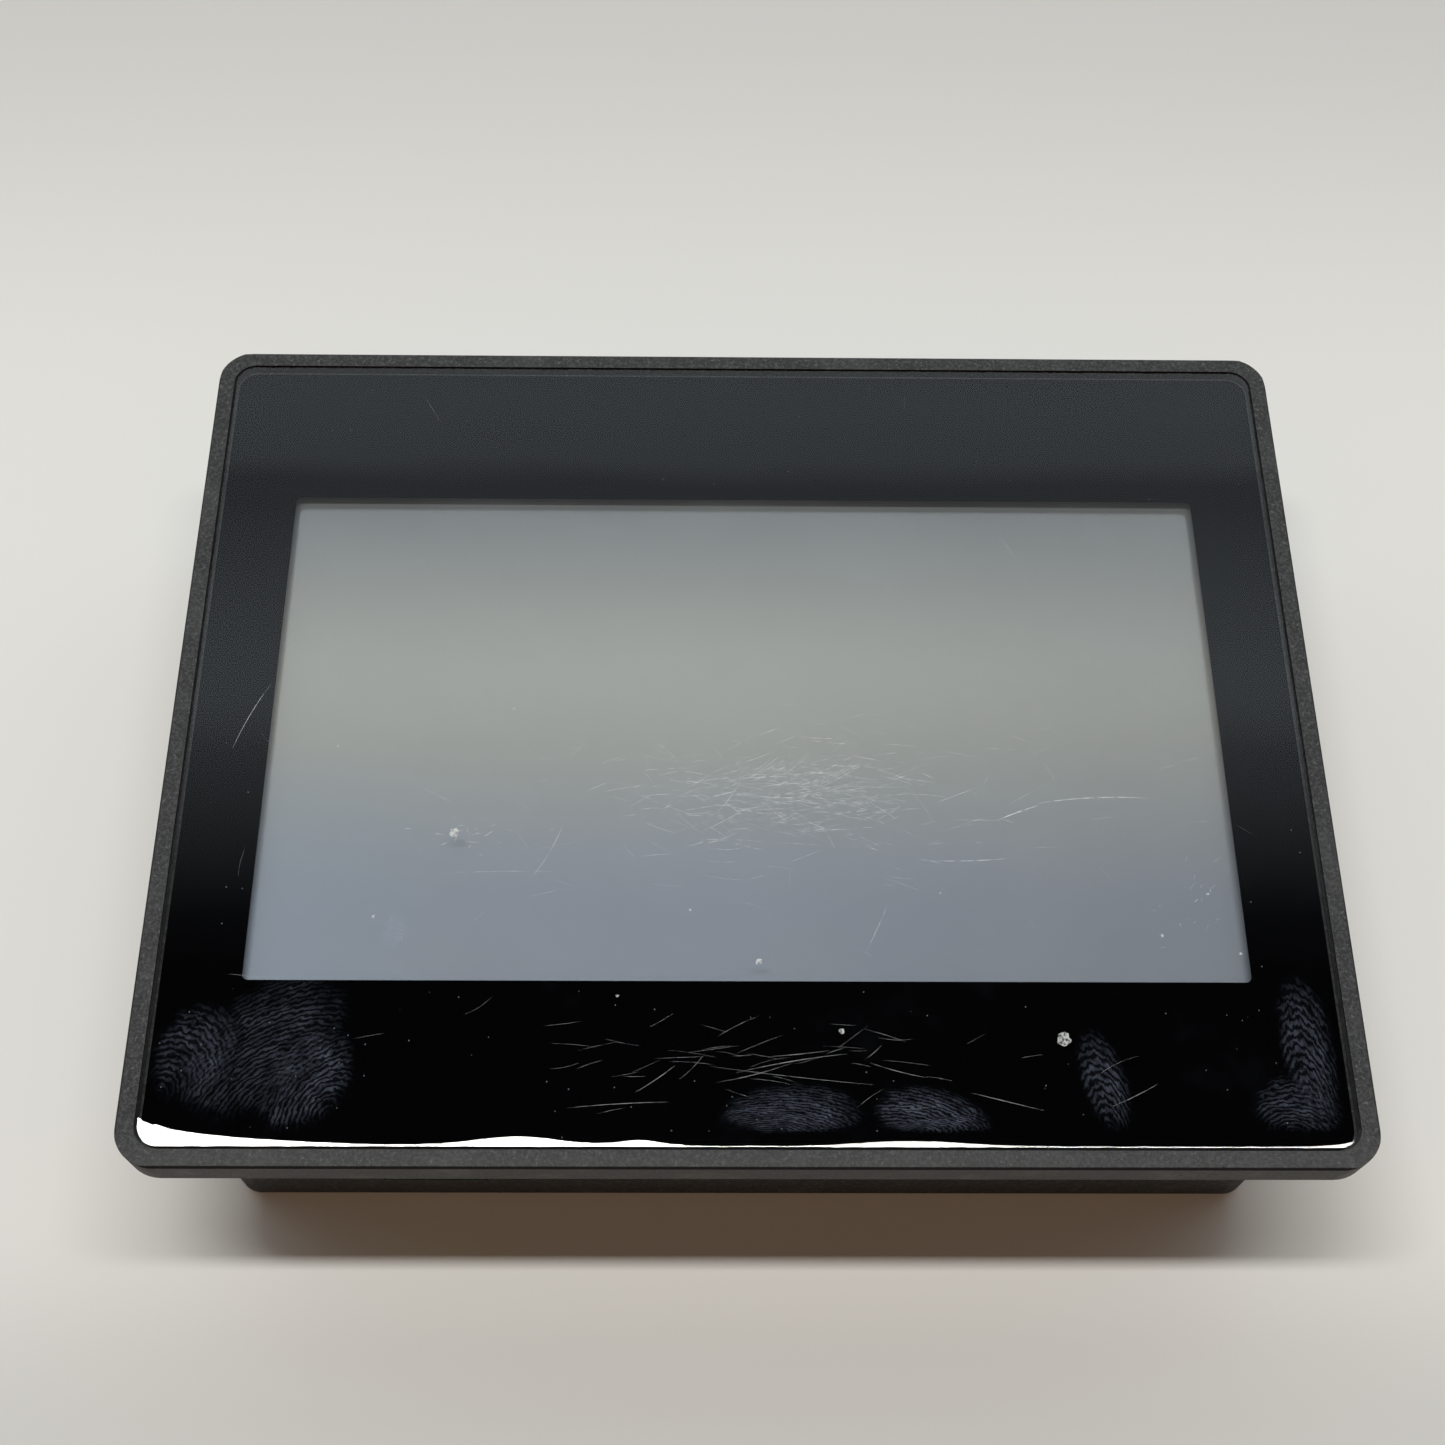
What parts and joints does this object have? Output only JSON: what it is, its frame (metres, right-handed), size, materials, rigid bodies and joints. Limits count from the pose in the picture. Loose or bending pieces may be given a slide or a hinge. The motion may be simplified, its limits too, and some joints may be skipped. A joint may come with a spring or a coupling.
{
  "type": "operator touch panel",
  "caption": "Wide operator touch panel: black glass in a slim grained frame, sealed to a cabinet panel, over a stepped rear housing with network, serial, USB and power connections.",
  "frame": {"origin": "middle of the rear face, on the plane the panel lies on", "axes": "+X along the width to the right seen from the front, +Y up the screen, +Z out of the screen"},
  "size_m": [0.187, 0.147, 0.042],
  "materials": {
    "frame_plastic": "fine moulded grain",
    "cover_glass": "glossy",
    "black_print": "gloss",
    "clear_tape": "satin",
    "sensor_film": "clear",
    "ribbon": "satin",
    "foam": "open cell",
    "lcd": "anti-glare",
    "tin_plate": "rolled",
    "clear_plastic": "clear",
    "led_carrier": "satin",
    "seal_rubber": "matte",
    "zinc_steel": "zinc plated",
    "screw_steel": "zinc plated",
    "brass": "turned",
    "circuit_board": "solder mask",
    "cream_plastic": "moulded",
    "chip_resin": "moulded",
    "ferrite": "sintered",
    "capacitor_can": "satin",
    "black_plastic": "moulded",
    "gold_contact": "gold plated",
    "green_plastic": "moulded",
    "housing_plastic": "fine moulded grain",
    "label_foil": "satin"
  },
  "bodies": {
    "panel": {"front_bezel": "frame_plastic", "cover_glass": "cover_glass", "border_film": "black_print", "adhesive_frame": "clear_tape", "touch_sensor": "sensor_film", "touch_ribbon": "ribbon", "dust_foam": "foam", "lcd_cell": "lcd", "lcd_shell": "tin_plate", "light_guide": "clear_plastic", "led_strip": "led_carrier", "lcd_ribbon": "ribbon", "panel_seal": "seal_rubber", "carrier_plate": "zinc_steel", "carrier_screws": "screw_steel", "board_posts": "brass", "main_board": "circuit_board", "board_screws": "screw_steel", "ribbon_sockets": "cream_plastic", "processor": "chip_resin", "memory_chips": "chip_resin", "power_inductors": "ferrite", "filter_capacitors": "capacitor_can", "buzzer": "black_plastic", "ethernet_shell": "tin_plate", "ethernet_insert": "black_plastic", "ethernet_contacts": "gold_contact", "usb_shell": "tin_plate", "usb_insert": "cream_plastic", "serial_shell": "tin_plate", "serial_insert": "black_plastic", "serial_contacts": "gold_contact", "serial_jackscrews": "screw_steel", "terminal_block": "green_plastic", "terminal_bars": "brass", "rear_housing": "housing_plastic", "rear_screws": "screw_steel", "rating_label": "label_foil"},
    "clamp_screw_1_body": {"clamp_screw_1": "screw_steel"},
    "clamp_screw_2_body": {"clamp_screw_2": "screw_steel"},
    "clamp_screw_3_body": {"clamp_screw_3": "screw_steel"},
    "clamp_cage_1_body": {"clamp_cage_1": "tin_plate"},
    "clamp_cage_2_body": {"clamp_cage_2": "tin_plate"},
    "clamp_cage_3_body": {"clamp_cage_3": "tin_plate"}
  },
  "joints": [
    {"name": "clamp_cage_1_lift", "type": "slide", "parent": "panel", "child": "clamp_cage_1_body", "axis": [0, 0, 1], "range_m": [0, 0.0018]},
    {"name": "clamp_screw_1_turn", "type": "hinge", "parent": "panel", "child": "clamp_screw_1_body", "pos_m": [-0.05506, -0.0623, 0.01125], "axis": [0, 0, -1], "range_deg": [0, 1440]},
    {"name": "clamp_cage_2_lift", "type": "slide", "parent": "panel", "child": "clamp_cage_2_body", "axis": [0, 0, 1], "range_m": [0, 0.0018]},
    {"name": "clamp_screw_2_turn", "type": "hinge", "parent": "panel", "child": "clamp_screw_2_body", "pos_m": [-0.04998, -0.0623, 0.01125], "axis": [0, 0, -1], "range_deg": [0, 1440]},
    {"name": "clamp_cage_3_lift", "type": "slide", "parent": "panel", "child": "clamp_cage_3_body", "axis": [0, 0, 1], "range_m": [0, 0.0018]},
    {"name": "clamp_screw_3_turn", "type": "hinge", "parent": "panel", "child": "clamp_screw_3_body", "pos_m": [-0.0449, -0.0623, 0.01125], "axis": [0, 0, -1], "range_deg": [0, 1440]}
  ],
  "couplings": [
    {"joint": "clamp_screw_1_turn", "follows": "clamp_cage_1_lift", "rad_per_m": 13963},
    {"joint": "clamp_screw_2_turn", "follows": "clamp_cage_2_lift", "rad_per_m": 13963},
    {"joint": "clamp_screw_3_turn", "follows": "clamp_cage_3_lift", "rad_per_m": 13963}
  ]
}
